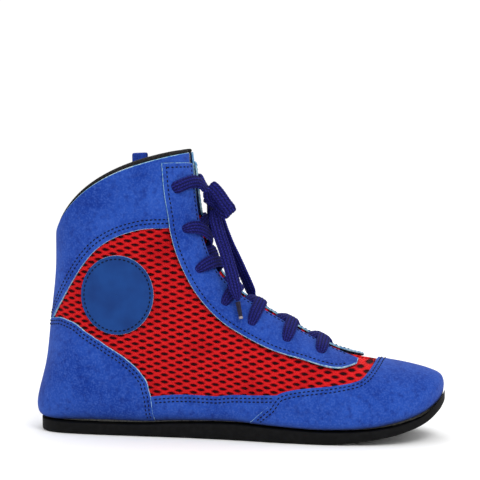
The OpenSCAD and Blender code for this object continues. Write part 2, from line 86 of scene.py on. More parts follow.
class Finish:
    """A Principled material with small helpers for its procedural detail."""

    def __init__(self, name, color, rough, sheen=0.0, specular=0.4):
        self.mat = bpy.data.materials.new(name)
        self.mat.use_nodes = True
        self.tree = self.mat.node_tree
        self.bsdf = self.tree.nodes["Principled BSDF"]
        self.bsdf.inputs["Base Color"].default_value = (*color, 1)
        self.bsdf.inputs["Roughness"].default_value = rough
        self.bsdf.inputs["Specular IOR Level"].default_value = specular
        self.bsdf.inputs["Sheen Weight"].default_value = sheen
        self.bsdf.inputs["Sheen Roughness"].default_value = 0.6
        self.height = None

    def node(self, kind, **values):
        made = self.tree.nodes.new(kind)
        for key, value in values.items():
            if hasattr(made, key):
                setattr(made, key, value)
            else:
                made.inputs[key.replace("_", " ")].default_value = value
        return made

    def link(self, a, b):
        self.tree.links.new(a, b)

    def math(self, operation, *values):
        made = self.node("ShaderNodeMath", operation=operation)
        for k, value in enumerate(values):
            if isinstance(value, (int, float)):
                made.inputs[k].default_value = value
            else:
                self.link(value, made.inputs[k])
        return made.outputs[0]

    def place(self, attribute="rest"):
        return self.node("ShaderNodeAttribute", attribute_name=attribute).outputs["Vector"]

    def noise(self, scale, detail=2.0, attribute="rest"):
        made = self.node("ShaderNodeTexNoise", Scale=scale, Detail=detail)
        self.link(self.place(attribute), made.inputs["Vector"])
        return made.outputs["Fac"]

    def mix_color(self, factor, a, b, low=0.0, high=1.0):
        """Color a to color b as factor goes from low to high; a or b may be the output of an earlier mix."""
        ramp = self.node("ShaderNodeMapRange")
        ramp.inputs["From Min"].default_value = low
        ramp.inputs["From Max"].default_value = high
        self.link(factor, ramp.inputs["Value"])
        made = self.node("ShaderNodeMix", data_type="RGBA")
        self.link(ramp.outputs["Result"], made.inputs["Factor"])
        for value, socket in ((a, made.inputs[6]), (b, made.inputs[7])):
            if isinstance(value, tuple):
                socket.default_value = (*value[:3], 1)
            else:
                self.link(value, socket)
        self.link(made.outputs[2], self.bsdf.inputs["Base Color"])
        return made.outputs[2]

    def bump(self, height, distance, strength=1.0):
        made = self.node("ShaderNodeBump", Strength=strength, Distance=distance)
        self.link(height, made.inputs["Height"])
        if self.height is not None:
            self.link(self.height, made.inputs["Normal"])
        self.height = made.outputs["Normal"]
        self.link(self.height, self.bsdf.inputs["Normal"])


def srgb(r, g, b):
    return tuple(((c / 255 + 0.055) / 1.055) ** 2.4 if c > 10 else c / 3294.6 for c in (r, g, b))


def suede_finish():
    f = Finish("suede", srgb(22, 58, 148), 0.95, sheen=0.05, specular=0.08)
    cloud = f.mix_color(f.noise(34, 4), srgb(12, 49, 134), srgb(34, 72, 160), 0.34, 0.66)
    nap = f.mix_color(f.noise(800, 3), cloud, srgb(60, 92, 172), 0.45, 0.9)
    f.mix_color(f.noise(260, 4), nap, srgb(8, 34, 112), 0.5, 0.9)
    f.bump(f.noise(1500, 4), 0.0003, 0.55)
    f.bump(f.noise(160, 2), 0.0006, 0.35)
    return f.mat


def edge_finish():
    f = Finish("cut_edge", srgb(130, 175, 200), 0.95, specular=0.1)
    f.mix_color(f.noise(600, 2), srgb(84, 138, 186), srgb(164, 198, 208), 0.35, 0.65)
    f.bump(f.noise(2200, 2), 0.0002, 0.6)
    return f.mat


def mesh_finish():
    """Spacer mesh: staggered rows of lens-shaped holes between raised threads; the holes and their rims carry
    painted shade and the thread bands a painted highlight.
    """
    f = Finish("mesh", srgb(190, 20, 26), 0.85, specular=0.1)
    split = f.node("ShaderNodeSeparateXYZ")
    f.link(f.place("weave"), split.inputs[0])
    row = split.outputs["Y"]
    odd = f.math("MODULO", f.math("FLOOR", row), 2)
    column = f.math("ADD", split.outputs["X"], f.math("MULTIPLY", odd, 0.5))
    wobble = f.math("MULTIPLY", f.math("SUBTRACT", f.noise(420, 1), 0.5), 0.09)
    across = f.math("ADD", f.math("SUBTRACT", f.math("FRACT", column), 0.5), wobble)
    up = f.math("SUBTRACT", f.math("FRACT", row), 0.5)
    curve_in = f.math("MULTIPLY", f.math("MULTIPLY", across, across), 6.2)
    depth = f.math("SUBTRACT", f.math("SUBTRACT", 0.4, curve_in), f.math("ABSOLUTE", up))
    ridge = f.math("MULTIPLY", depth, -1)
    hole = f.node("ShaderNodeMapRange", interpolation_type="SMOOTHSTEP")
    f.link(depth, hole.inputs["Value"])
    hole.inputs["From Min"].default_value = -0.04
    hole.inputs["From Max"].default_value = 0.2
    # Diagonal thread bands: the lighter red on them is a painted highlight on the threads
    threads = f.node("ShaderNodeTexWave", wave_type="BANDS", bands_direction="DIAGONAL",
                     Scale=2.6, Distortion=2.5, Detail=1)
    f.link(f.place("weave"), threads.inputs["Vector"])
    red = f.mix_color(threads.outputs["Fac"], srgb(176, 8, 16), srgb(236, 36, 38), 0.1, 0.8)
    # Red darkens from between the holes toward each hole's rim: painted shade running into the holes
    red = f.mix_color(ridge, srgb(148, 4, 14), red, 0.0, 0.45)
    red = f.mix_color(f.noise(30, 2), red, srgb(170, 8, 18), 0.55, 0.8)
    # Near-black red inside the holes: painted shade in their depth
    f.mix_color(hole.outputs["Result"], red, srgb(40, 0, 6), 0.0, 0.8)
    f.bump(f.math("MULTIPLY", hole.outputs["Result"], -1), 0.0016, 1.0)
    f.bump(ridge, 0.0006, 0.5)
    f.bump(threads.outputs["Fac"], 0.0004, 0.8)
    return f.mat


def woven_finish(name, dark, light, scale=1100, rough=0.85):
    f = Finish(name, light, rough, sheen=0.02, specular=0.1)
    f.mix_color(f.noise(scale, 2), dark, light, 0.35, 0.7)
    f.bump(f.noise(scale * 1.4, 2), 0.0003, 0.5)
    return f.mat


def lace_finish():
    """The weave attribute holds how high the braid stands; the furrows get painted shade and the crests a painted
    highlight.
    """
    f = Finish("lace", srgb(20, 24, 100), 0.8, specular=0.12)
    split = f.node("ShaderNodeSeparateXYZ")
    f.link(f.place("weave"), split.inputs[0])
    # Near-black in the braid's furrows up to navy: painted shade in the furrows
    base = f.mix_color(split.outputs["X"], srgb(2, 2, 22), srgb(20, 22, 100), 0.15, 0.85)
    # Lighter blue on the highest crests: painted highlight
    crest_highlight = f.mix_color(split.outputs["X"], base, srgb(62, 68, 168), 0.82, 1.25)
    f.mix_color(f.noise(1500, 2), crest_highlight, srgb(66, 72, 166), 0.58, 0.9)
    f.bump(f.noise(2600, 2), 0.0002, 0.6)
    return f.mat


def rubber_finish():
    f = Finish("rubber", srgb(8, 8, 9), 0.75, specular=0.12)
    f.mix_color(f.noise(300, 3), srgb(5, 5, 6), srgb(14, 14, 15), 0.4, 0.75)
    f.bump(f.noise(1800, 2), 0.0002, 0.4)
    return f.mat


def patch_finish():
    f = Finish("patch", srgb(12, 54, 118), 0.65, specular=0.15)
    f.mix_color(f.noise(60, 2), srgb(9, 48, 108), srgb(14, 58, 122), 0.35, 0.65)
    f.bump(f.noise(700, 3), 0.0002, 0.35)
    return f.mat


FINISH = {
    "suede": suede_finish(),
    "edge": edge_finish(),
    "mesh": mesh_finish(),
    "lining": woven_finish("lining", srgb(12, 12, 14), srgb(34, 33, 36)),
    "binding": woven_finish("binding", srgb(14, 13, 14), srgb(40, 38, 38), 900),
    "tape": woven_finish("tape", srgb(190, 190, 182), srgb(224, 224, 218)),
    "foam": woven_finish("foam", srgb(120, 120, 116), srgb(160, 160, 154), 700),
    "board": woven_finish("board", srgb(150, 122, 84), srgb(180, 150, 110), 500),
    "webbing": woven_finish("webbing", srgb(10, 30, 100), srgb(36, 70, 168), 1500),
    "rubber": rubber_finish(),
    "patch": patch_finish(),
    "lace": lace_finish(),
    "thread": woven_finish("thread", srgb(1, 2, 12), srgb(5, 7, 34), 2400, 0.7),
    "aglet": woven_finish("aglet", srgb(20, 18, 36), srgb(38, 34, 52), 300, 0.35),
    "aglet_tip": woven_finish("aglet_tip", srgb(112, 104, 110), srgb(150, 140, 142), 300, 0.4),
}

# ---- the boot's surface, as in the CAD ----

# Ridge x and z, base x and z, half width, widest place, roundness of the
# upper and lower quarters, and arch, from the toe tip to the collar
STATIONS = np.array([
    [289.5, 37, 288.7, 30, 0, 0.52, 2.0, 2.2, 0], [287, 43.5, 286, 25, 16, 0.58, 2.0, 2.6, 0],
    [278, 47.5, 277, 18.5, 29, 0.64, 2.0, 3.2, 0], [263, 51, 262, 13, 39, 0.68, 2.0, 3.8, 0],
    [243, 54.2, 241, 9.2, 45.5, 0.72, 2.0, 4.4, 0], [217, 59, 211, 8, 48.5, 0.74, 2.0, 4.8, 0],
    [193, 71, 180, 9, 46, 0.76, 2.0, 4.8, 0], [169, 84.5, 148, 10.5, 41, 0.76, 2.0, 4.6, 0],
    [148, 97.5, 114, 9.5, 37.5, 0.74, 2.05, 4.6, 0], [133.5, 113, 80, 7.5, 36, 0.70, 2.1, 4.4, 0],
    [125.5, 130, 46, 7.5, 35.5, 0.66, 2.15, 4.4, 0], [121.5, 146, 16, 8, 35.5, 0.62, 2.2, 3.8, 0],
    [119.5, 158.5, 6, 17, 35, 0.58, 2.2, 2.8, 0], [118, 169, 12, 48, 34.5, 0.55, 2.2, 2.3, 1.5],
    [117, 178, 16, 82, 35, 0.53, 2.2, 2.2, 5], [116, 186, 19.5, 109, 36.5, 0.51, 2.2, 2.2, 10],
    [115, 193.5, 20.5, 133, 38.5, 0.50, 2.2, 2.2, 15]])
LAST = len(STATIONS) - 1
x_shift = toe_x - STATIONS[0, 0]
before = STATIONS[1] * [1, 1, 1, 1, -1, 1, 1, 1, 1]
ROWS = np.vstack([before, STATIONS, 2 * STATIONS[-1] - STATIONS[-2]])
SUEDE, GAP, MIDDLE, TAPE, LINING = 1.25, 0.3, 2.2, 0.5, 1.0
MID = -SUEDE - GAP
TAPE_OUT = MID - MIDDLE - GAP
LINING_OUT = TAPE_OUT - TAPE - GAP
LINING_IN = LINING_OUT - LINING
REACH = 0.78


def blend4(a, b, c, d, f):
    return 0.5 * (2 * b + (c - a) * f + (2 * a - 5 * b + 4 * c - d) * f**2 + (3 * b - 3 * c + d - a) * f**3)


def skin(t, h):
    """Points of the outer surface in mm: t from toe (0) to collar, h from ridge (0) to sole or back (1)."""
    t = np.clip(t, 0, LAST)
    h = np.where(h > 1, h - 2, np.where(h < -1, h + 2, h))
    i = np.minimum(np.floor(t), LAST - 1).astype(int)
    s = blend4(ROWS[i], ROWS[i + 1], ROWS[i + 2], ROWS[i + 3], (t - i)[..., None])
    top = np.abs(h) < 0.5
    turn = math.pi * np.where(top, np.abs(h), np.abs(h) - 0.5)
    n = np.where(top, s[..., 6], s[..., 7])
    c, k = np.abs(np.cos(turn)), np.abs(np.sin(turn))
    r = (c**n + k**n) ** (-1 / n)
    m = s[..., 5]
    q = np.where(top, m * (1 - r * c), m + (1 - m) * r * k)
    y = s[..., 4] * r * np.where(top, k, c)
    run_x, run_z = s[..., 2] - s[..., 0], s[..., 3] - s[..., 1]
    length = np.hypot(run_x, run_z)
    arch = s[..., 8] * np.maximum(0, np.sin(math.pi * np.minimum(q, 1) ** 1.2)) ** 0.75
    return np.stack([s[..., 0] + run_x * q + run_z / length * arch + x_shift,
                     np.where(h < 0, -y, y),
                     s[..., 1] + run_z * q - run_x / length * arch], -1)


def unit(v):
    return v / np.maximum(np.linalg.norm(v, axis=-1, keepdims=True), 1e-12)


def slopes(t, h):
    t = np.clip(t, 0.05, LAST - 0.02)
    return (skin(t + 0.02, h) - skin(t - 0.02, h)) / 0.04, (skin(t, h + 0.01) - skin(t, h - 0.01)) / 0.02


def normal(t, h):
    along, around = slopes(t, h)
    return unit(np.cross(around, along))


def at(t, h, d):
    p = skin(t, h) + np.asarray(d)[..., None] * normal(t, h)
    p[..., 1] = np.where(t < 1e-6, 0, p[..., 1])
    return p


def locate(points, t, h):
    """The places on the surface nearest to points, from a first guess."""
    t, h = t.astype(float).copy(), h.astype(float).copy()
    for _ in range(8):
        gap = points - skin(t, h)
        a, b = slopes(t, h)
        aa, bb, ab = (a * a).sum(-1), (b * b).sum(-1), (a * b).sum(-1)
        ga, gb = (gap * a).sum(-1), (gap * b).sum(-1)
        det = aa * bb - ab * ab + 1e-9
        t += np.clip((ga * bb - gb * ab) / det, -0.3, 0.3)
        h += np.clip((gb * aa - ga * ab) / det, -0.1, 0.1)
    return t, h


def curve(points, n=12):
    p = np.array(points, float)
    q = np.vstack([p[:1], p, p[-1:]])
    f = np.arange(n)[:, None] / n
    return np.vstack([blend4(q[i], q[i + 1], q[i + 2], q[i + 3], f) for i in range(len(p) - 1)] + [p[-1:]])


def lengths(p):
    return np.concatenate([[0], np.cumsum(np.linalg.norm(np.diff(p, axis=0), axis=1))])


def resample(values, s, at_s):
    return np.stack([np.interp(at_s, s, values[:, k]) for k in range(values.shape[1])], -1)


def graded(length, step):
    """Spaced positions along a length, close together near both ends."""
    if length < 4:
        return np.linspace(0, length, 7)
    near = np.array([0, 0.12, 0.35, 0.75])
    middle = np.linspace(0.75, length - 0.75, max(2, int(round(length / step))) + 1)[1:-1]
    return np.concatenate([near, middle, length - near[::-1]])


def grid_between(edge0, edge1, side=1, step=2.2, back=False):
    """Grid of surface places between two edges; back carries it round the heel to the other side."""
    a, b = curve(edge0), curve(edge1)
    if back:
        a = np.vstack([a, (a * [1, -1] + [0, 2])[-2::-1]])
        b = np.vstack([b, (b * [1, -1] + [0, 2])[-2::-1]])
    pa, pb = skin(a[:, 0], a[:, 1]), skin(b[:, 0], b[:, 1])
    s = (lengths(pa) + lengths(pb)) / 2
    u = graded(s[-1], step)
    a, b = resample(a, s, u), resample(b, s, u)
    wide = np.linalg.norm(skin(a[:, 0], a[:, 1]) - skin(b[:, 0], b[:, 1]), axis=1).mean()
    c = graded(wide, step)[None, :, None] / wide
    g = a[:, None] * (1 - c) + b[:, None] * c
    return g[..., 0], g[..., 1] * side


# ---- building pieces ----


def add_object(name, verts, faces, finishes, slot, face_finish=None, attributes=None, sharp=None):
    """A smooth mesh object in metres from points in mm, keeping its rest places for the shaders."""
    mesh = bpy.data.meshes.new(name)
    mesh.from_pydata((np.asarray(verts) * MM).tolist(), [], faces)
    rest = mesh.attributes.new("rest", "FLOAT_VECTOR", "POINT")
    rest.data.foreach_set("vector", (np.asarray(verts) * MM).astype(np.float32).ravel())
    for key, value in (attributes or {}).items():
        made = mesh.attributes.new(key, "FLOAT_VECTOR", "POINT")
        made.data.foreach_set("vector", np.asarray(value, np.float32).ravel())
    for key in finishes:
        mesh.materials.append(FINISH[key])
    if face_finish is not None:
        mesh.polygons.foreach_set("material_index", np.asarray(face_finish, np.int32))
    mesh.shade_smooth()
    if sharp:
        mesh.set_sharp_from_angle(angle=math.radians(sharp))
    mesh.validate()
    obj = bpy.data.objects.new(name, mesh)
    bpy.context.collection.objects.link(obj)
    return obj


# Spacing of the mesh's holes along a row, from row to row, and the rows' slant
WEAVE_ALONG, WEAVE_UP, WEAVE_SLANT = 10.2, 2.4, 0.08


def mesh_weave(points):
    """Where a point lies in the mesh's pattern: holes along, rows up."""
    x, z = points[:, 0], points[:, 2]
    return np.stack([x / WEAVE_ALONG, (z + WEAVE_SLANT * x) / WEAVE_UP, 0 * x], -1)


def sheet(name, grids, outer, inner, slot, finishes, lip=0.45, edge_band=0.36):
    """A sheet of even thickness over grids of surface places, with rounded edges."""
    index, t_all, h_all, quads = {}, [], [], []
    for t, h in grids:
        p, nrm = skin(t, h), normal(t, h)
        p[..., 1] = np.where(t < 1e-6, 0, p[..., 1])
        ids = np.empty(t.shape, int)
        for i in range(t.shape[0]):
            for j in range(t.shape[1]):
                key = tuple(np.round(p[i, j], 3) + 0.0)
                if key not in index:
                    index[key] = len(t_all)
                    t_all.append(t[i, j])
                    h_all.append(h[i, j])
                ids[i, j] = index[key]
        mid = (t.shape[0] // 2, t.shape[1] // 2)
        turn = np.cross(p[mid[0], mid[1]] - p[mid[0] - 1, mid[1]], p[mid[0], mid[1]] - p[mid[0], mid[1] - 1])
        ccw = turn @ nrm[mid] > 0
        for i in range(t.shape[0] - 1):
            for j in range(t.shape[1] - 1):
                q = [ids[i, j], ids[i + 1, j], ids[i + 1, j + 1], ids[i, j + 1]]
                q = q if ccw else q[::-1]
                q = [v for k, v in enumerate(q) if v != q[k - 1]]
                if len(q) > 2:
                    quads.append(q)
    t, h = np.array(t_all), np.array(h_all)
    base, nrm = skin(t, h), normal(t, h)
    base[:, 1] = np.where(t < 1e-6, 0, base[:, 1])
    nrm[:, 1] = np.where(t < 1e-6, 0, nrm[:, 1])
    nrm = unit(nrm)
    count = {}
    for q in quads:
        for k in range(len(q)):
            pair = (q[k - 1], q[k])
            count[pair] = count.get(pair, 0) + 1
    rim = [pair for pair in count if (pair[1], pair[0]) not in count]
    rim_ids = sorted({v for pair in rim for v in pair})
    tree = kdtree.KDTree(len(rim) * 3 or 1)
    for k, (a, b) in enumerate(rim):
        for m in range(3):
            tree.insert(Vector(base[a] + (base[b] - base[a]) * m / 3), k * 3 + m)
    tree.balance()
    away = np.array([tree.find(Vector(p))[2] for p in base])
    away[rim_ids] = 0
    inside = np.clip(lip - away, 0, lip)
    drop = lip - np.sqrt(lip**2 - inside**2)
    top = base + (outer - drop)[:, None] * nrm
    low = base + inner * nrm
    n = len(base)
    faces = quads + [[n + v for v in reversed(q)] for q in quads] + [[b, a, n + a, n + b] for a, b in rim]
    near = [1 if max(away[v] for v in q) <= edge_band else 0 for q in quads]
    face_finish = near + [0] * len(quads) + [1] * len(rim)
    verts = np.vstack([top, low])
    two = finishes if len(finishes) > 1 else finishes * 2
    weave = {"weave": mesh_weave(np.vstack([base, base]))}
    return add_object(name, verts, faces, two, slot, face_finish, weave, sharp=55)


def settle(obj, body, *nodes):
    """The piece takes its CAD nodes' place and moves with a body; a flex piece is only baked in place."""
    if body == "flex":
        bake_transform(obj)
    else:
        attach(obj, body)
    if nodes:
        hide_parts(*nodes)
    return obj


def lay(name, grids, depths, slot, finishes, body, *nodes, **shape):
    """A sheet between two depths of the surface, put in place of its CAD nodes."""
    return settle(sheet(name, grids, *depths, slot, finishes, **shape), body, *nodes)


def tube_rings(path, across, out, profile):
    """Rings of points around a path; profile gives each ring's offsets across and out."""
    return path[:, None] + across[:, None] * profile[..., 0:1] + out[:, None] * profile[..., 1:2]


def skin_rings(rings):
    """Quads between successive rings, with closed ends."""
    n, m = rings.shape[:2]
    k = np.arange(m)
    faces = [[i * m + a, i * m + (a + 1) % m, (i + 1) * m + (a + 1) % m, (i + 1) * m + a]
             for i in range(n - 1) for a in k]
    faces.append(list(range(m))[::-1])
    faces.append([(n - 1) * m + a for a in k])
    return rings.reshape(-1, 3), faces


def edge_curve(edge, side=1, back=False):
    a = curve(edge)
    if back:
        a = np.vstack([a, (a * [1, -1] + [0, 2])[-2::-1]])
    return a * [1, side]


def inset(places, distance, toward):
    """The line that runs a distance beside a line of surface places, on the side of another line."""
    p, n = skin(places[:, 0], places[:, 1]), normal(places[:, 0], places[:, 1])
    beside = unit(np.cross(n, unit(np.gradient(p, axis=0))))
    middle = len(places) // 2
    target = skin(toward[:, 0], toward[:, 1])[int(len(toward) * middle / len(places))]
    beside *= np.sign(beside[middle] @ (target - p[middle]))
    return np.stack(locate(p + distance * beside, places[:, 0], places[:, 1]), -1)


def stitch_row(lines, depth, pitch=3.0, size=0.4):
    """Verts and faces of the stitches along lines of surface places."""
    verts, faces = [], []
    for places in lines:
        p = at(places[:, 0], places[:, 1], np.full(len(places), depth))
        s = lengths(p)
        count = int(s[-1] / pitch)
        if count < 1:
            continue
        starts = (np.arange(count) + 0.5) * s[-1] / count
        nrm = normal(places[:, 0], places[:, 1])
        for start in starts:
            along = start + np.array([-0.36, -0.22, 0, 0.22, 0.36]) * pitch
            c, n = resample(p, s, along), unit(resample(nrm, s, along))
            d = unit(np.gradient(c, axis=0))
            a = np.cross(n, d)
            lift = np.array([-0.45, 0.02, 0.12, 0.02, -0.45])
            turn = np.linspace(0, 2 * math.pi, 6, endpoint=False)
            thick = size * np.array([0.6, 1, 1, 1, 0.6])
            prof = np.stack([np.outer(thick, np.cos(turn)), np.outer(thick, np.sin(turn)) + lift[:, None]], -1)
            v, f = skin_rings(tube_rings(c, a, n, prof))
            faces += [[k + len(verts) for k in q] for q in f]
            verts += v.tolist()
    return verts, faces


def stitches(name, lines, depth, body, slot):
    verts, faces = stitch_row(lines, depth)
    obj = add_object(name, verts, faces, ["thread"], slot)
    return settle(obj, body)


# ---- laces ----

LACE_W, LACE_T = 8.8, 3.7
ROUTE_STEPS = 10
# Depth at which the hidden lace lies under the tape
LACE_UNDER = -7.0


def ribbon(name, path, out, widths, body, step=0.45, thick=LACE_T):
    """A flat braided lace along a path: ribs run along it and small plaits cross them."""
    path, out, widths = np.asarray(path, float), np.asarray(out, float), np.asarray(widths, float)
    s = lengths(path)
    n = max(8, int(s[-1] / step))
    u = np.linspace(0, s[-1], n)
    p, o, w = resample(path, s, u), unit(resample(out, s, u)), np.interp(u, s, widths)
    d = unit(np.gradient(p, axis=0))
    a = unit(np.cross(d, o))
    o = np.cross(a, d)
    turn = np.linspace(0, 2 * math.pi, 56, endpoint=False)
    x = np.sign(np.cos(turn)) * np.abs(np.cos(turn)) ** 0.9
    y = np.sign(np.sin(turn)) * np.abs(np.sin(turn)) ** 0.85
    rib = np.abs(np.cos(x * math.pi * 2)) ** 0.55
    which = np.floor((x + 1) * 2 + 0.5)
    slant = np.where(which % 2 == 0, 1, -1) * (x * 4 - which) * 0.45
    plait = 0.5 + 0.5 * np.sin(2 * math.pi * (u[:, None] / 2.1 + slant[None, :]))
    height = rib[None, :] * (0.5 + 0.5 * plait)
    scale = np.clip(w / LACE_W, 0.35, 1)
    across = 0.5 * w[:, None] * x[None, :] * (1 + 0.04 * (plait - 0.5))
    high = 0.5 * thick * np.sqrt(scale)[:, None] * y[None, :] * (0.72 + 0.28 * height)
    rings = tube_rings(p, a, o, np.stack([across, high], -1))
    verts, faces = skin_rings(rings)
    # The braid height also sets the lace's painted furrow shade and crest highlight
    weave = np.stack([height.ravel(), 0 * height.ravel(), 0 * height.ravel()], -1)
    return settle(add_object(name, verts, faces, ["lace"], "lace", attributes={"weave": weave}), body), p


knot_low, knot_high = box_mm("lace_knot")
knot = (knot_low + knot_high) / 2


def free_lace(name, route, facing, node, far_end, taper=0.5):
    """A lace end or bow loop along a route from the knot. Its node is its body too."""
    path = curve([knot + np.array(r) for r in route], ROUTE_STEPS)
    d = unit(np.gradient(path, axis=0))
    facing = np.asarray(facing, float)
    out = np.broadcast_to(facing, d.shape)
    if far_end == "object":
        out = np.cross(out, d)
    s = lengths(path)
    width = LACE_W * np.clip(taper + s / 12, 0, 1)
    left = (s[-1] - s) / 12
    width = np.minimum(width, LACE_W * np.clip((taper if far_end == "object" else 0.36) + left, 0, 1))
    obj, line = ribbon(name, path, out, width, node)
    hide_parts(node)
    float(lengths(line)[-1] * MM)


def aglet(side, node, body):
    """The shrunk film tip, along its CAD cylinder."""
    low, high = box_mm(node)
    y = (low[1] + 1.2, high[1] - 1.2) if side > 0 else (high[1] - 1.2, low[1] + 1.2)
    ends = np.array([[low[0] + 1.4, y[0], high[2] - 0.4], [high[0] - 1.4, y[1], low[2] + 0.4]])
    u = np.linspace(0, 1, 24)
    p = ends[0] + (ends[1] - ends[0]) * u[:, None]
    d = unit(np.gradient(p, axis=0))
    a = unit(np.cross(d, [0.0, -side * 1.0, 0.0]))
    turn = np.linspace(0, 2 * math.pi, 20, endpoint=False)
    r = 1.55 - 0.35 * u + 0.05 * np.sin(u * 40)
    prof = np.stack([np.outer(r * 1.12, np.cos(turn)), np.outer(r * 0.85, np.sin(turn))], -1)
    verts, faces = skin_rings(tube_rings(p, a, np.cross(a, d), prof))
    tip = [1 if i // 20 > 19 else 0 for i in range(len(faces) - 2)] + [0, 1]
    obj = add_object(node + "_film", verts, faces, ["aglet", "aglet_tip"], "aglet", tip)
    return settle(obj, body, node)


aglet_l = aglet(-1, "aglet_lateral", "lace_end_lateral")
aglet_m = aglet(1, "aglet_medial", "lace_end_medial")

# Routes from the middle of the knot, in mm
END_LATERAL = [[1.5, -2.5, -6], [4.5, -5, -16], [7.5, -8, -24.5], [11, -11, -32.5], [14, -14, -40.5],
               [17, -17, -48.5], [19.5, -19.5, -56.5], [22.2, -22.2, -66]]
END_MEDIAL = [[1, 4.5, -6], [4, 10, -13], [6, 16, -22], [9, 21, -32], [13, 25, -42], [17, 28, -52],
              [21, 30.5, -62], [24.2, 32.2, -71.8]]
BOW_LATERAL = [[1, -3.5, -0.5], [-0.5, -6.5, 4], [0, -9.5, 8.5], [2.6, -12, 10.2], [7, -13, 6],
               [11.5, -12.8, -0.4], [14.4, -11.4, -4.6], [14, -9.4, -7.4], [10, -7.2, -6.4],
               [5, -4.6, -2.8], [2, -2.5, -1]]
BOW_MEDIAL = [[-1, 3.5, 0], [-3, 9, 0.5], [-4, 15, -4], [-4, 20, -12], [-3, 23, -20], [-0.5, 24, -23.5],
              [1.5, 22.5, -19], [2.5, 17.5, -11], [3, 11, -5], [2, 4, -1]]
free_lace("lace_end_outer", END_LATERAL, (0.35, -0.93, 0.1), "lace_end_lateral", "fitting")
free_lace("lace_end_inner", END_MEDIAL, (0.5, 0.85, 0.1), "lace_end_medial", "fitting")
free_lace("bow_loop_outer", BOW_LATERAL, (0.7, 0.1, 0.7), "bow_loop_lateral", "object")
free_lace("bow_loop_inner", BOW_MEDIAL, (0.2, 0.15, 0.95), "bow_loop_medial", "object")

HOLES = [[14, 0.21], [11.5, 0.18], [9.65, 0.18], [8.2, 0.185], [7.25, 0.2], [6.28, 0.19], [5.38, 0.155]]
# Share of the way over, height over the surface, and share of the full width
CROSSING = [[-0.03, -1.2, 0.4], [0.02, 1.3, 0.62], [0.07, 2.6, 0.85], [0.16, 3.2, 1], [0.28, 3.3, 1.04],
            [0.38, 3.1, 1.04], [0.5, 2.2, 1], [0.6, -1.1, 0.95], [0.68, -4.6, 0.9],
            [0.8, LACE_UNDER, 0.75], [0.95, LACE_UNDER, 0.5]]
# How far each row's outer and inner strand leans along the throat at the ridge
LEAN = [[0, 0], [-1.3, -0.6], [-0.45, 0.05], [-0.05, 0.25], [0.08, 0.33], [0.1, 0.35], [0.1, 0.35]]


def crossing(name, row, side, lean, lift):
    t0, h0 = HOLES[row]
    f, high, wide = curve(CROSSING, ROUTE_STEPS).T
    t = t0 + lean * 2 * np.clip(f, 0, 0.68)
    h = side * h0 * (1 - 2 * f)
    high = high + lift * np.exp(-((f - 0.5) / 0.13) ** 2)
    return ribbon(name, at(t, h, high), normal(t, h), wide * LACE_W, "boot")[0]


for row in range(1, 7):
    crossing(f"lace_row{row}_outer", row, -1, LEAN[row][0], 1.5)
    crossing(f"lace_row{row}_inner", row, 1, LEAN[row][1], -1.3)
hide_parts("lacing")
# From the top hole to the knot: places on the surface, and height over it
TO_KNOT = [[14, 0.222, -1.6], [14, 0.208, 1.6], [13.97, 0.19, 3], [13.9, 0.16, 3.2], [13.7, 0.1, 3.2],
           [13.4, 0.05, 4], [12.9, 0.03, 6.5]]
for side, word in ((-1, "outer"), (1, "inner")):
    t, h, high = curve(TO_KNOT, ROUTE_STEPS).T
    ribbon("lace_to_knot_" + word, at(t, side * h, high), normal(t, side * h),
           LACE_W * np.clip(0.55 + np.linspace(0, 2, len(t)), 0, 1), "boot")
BAR_STOPS, BAR_W = 20, 7.0
bar_t, bar_h = np.full(BAR_STOPS, 5.3), np.linspace(-0.12, 0.12, BAR_STOPS)
ribbon("lace_lowest_bar", at(bar_t, bar_h, np.full(BAR_STOPS, LACE_UNDER)), normal(bar_t, bar_h),
       np.full(BAR_STOPS, BAR_W), "boot")


def knot_wrap(name, centre, radius, axis, lean, start, turns, width):
    """A turn of lace round the knot."""
    u = np.linspace(start, start + 2 * math.pi * turns, 40)
    axis = unit(np.array(axis, float))
    e1 = unit(np.cross(axis, lean))
    e2 = np.cross(axis, e1)
    ring = np.outer(np.cos(u), e1) * radius[0] + np.outer(np.sin(u), e2) * radius[1]
    return ribbon(name, centre + ring, ring, np.full(40, width), "boot", thick=2.6)[0]


wrap = knot_wrap("lace_knot_wrap", knot, (4.6, 4.2), (0.5, 0.25, 0.85), (0, 1, 0), 0.0, 0.98, 6.6)
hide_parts("lace_knot")
knot_wrap("lace_knot_core", knot + [0.4, 0.6, 0.4], (2.4, 2.6), (0.9, 0.3, -0.2), (0, 0, 1), 0.6, 0.96, 7.0)

# ---- suede panels ----

FEATHER = [[8.6, REACH], [9.4, REACH], [10.2, 0.8], [11, 0.84], [11.25, 0.93], [11.3, 1]]
HEEL_TOP = [[8.64, 0.74], [9.0, 0.58], [9.6, 0.49], [11.7, 0.51], [13.4, 0.72], [13.96, 1]]
COLLAR_LOW = [[11.1, 0.13], [12.2, 0.23], [13.5, 0.365], [14.08, 0.53], [13.8, 0.74], [13.72, 0.88], [13.86, 1]]
COLLAR_TOP = [[LAST, 0.058], [LAST, 0.22], [LAST, 0.4], [LAST, 0.6], [LAST, 0.78], [LAST, 0.9], [LAST, 1]]
EYESTAY_REAR = [[15.74, 0.253], [14, 0.255], [11.2, 0.226], [9.2, 0.231], [7.7, 0.254], [6.6, 0.264],
                [5.6, 0.238], [4.8, 0.214], [4.42, 0.15]]
EYESTAY_FRONT = [[15.05, 0.062], [13.8, 0.065], [11.4, 0.064], [9.4, 0.063], [8, 0.06], [6.9, 0.055],
                 [5.9, 0.049], [5, 0.047], [4.42, 0.1]]
RAND_TOP = [[9.02, 0.612], [8.2, 0.541], [7.3, 0.492], [6.7, 0.47], [6.05, 0.44]]
RAND_LOW = [[8.72, REACH], [8.1, REACH], [7.4, REACH], [6.9, REACH], [6.5, REACH]]
